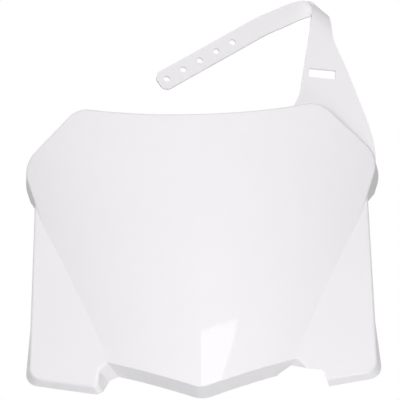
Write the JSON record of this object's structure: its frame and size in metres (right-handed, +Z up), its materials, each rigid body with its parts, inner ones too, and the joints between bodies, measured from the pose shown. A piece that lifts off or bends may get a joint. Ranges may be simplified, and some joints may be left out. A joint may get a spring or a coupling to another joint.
{
  "type": "motocross front number board",
  "caption": "Blank moulded plastic number board for the front of an off-road motorcycle, with a keeled shield, side wings and a folded strap with adjusting holes.",
  "frame": {"origin": "centre of the bounding box; X = 0 is the plane the shield is symmetric about", "axes": "+Z up along the board as it hangs on the motorcycle, +Y to the rear, towards the forks, so that the face looks along -Y, +X to the right of someone who looks at the face"},
  "size_m": [0.263, 0.0586, 0.3124],
  "materials": {
    "plastic": "glossy white polypropylene as moulded"
  },
  "bodies": {
    "root": {"number_board": "plastic"}
  },
  "joints": []
}
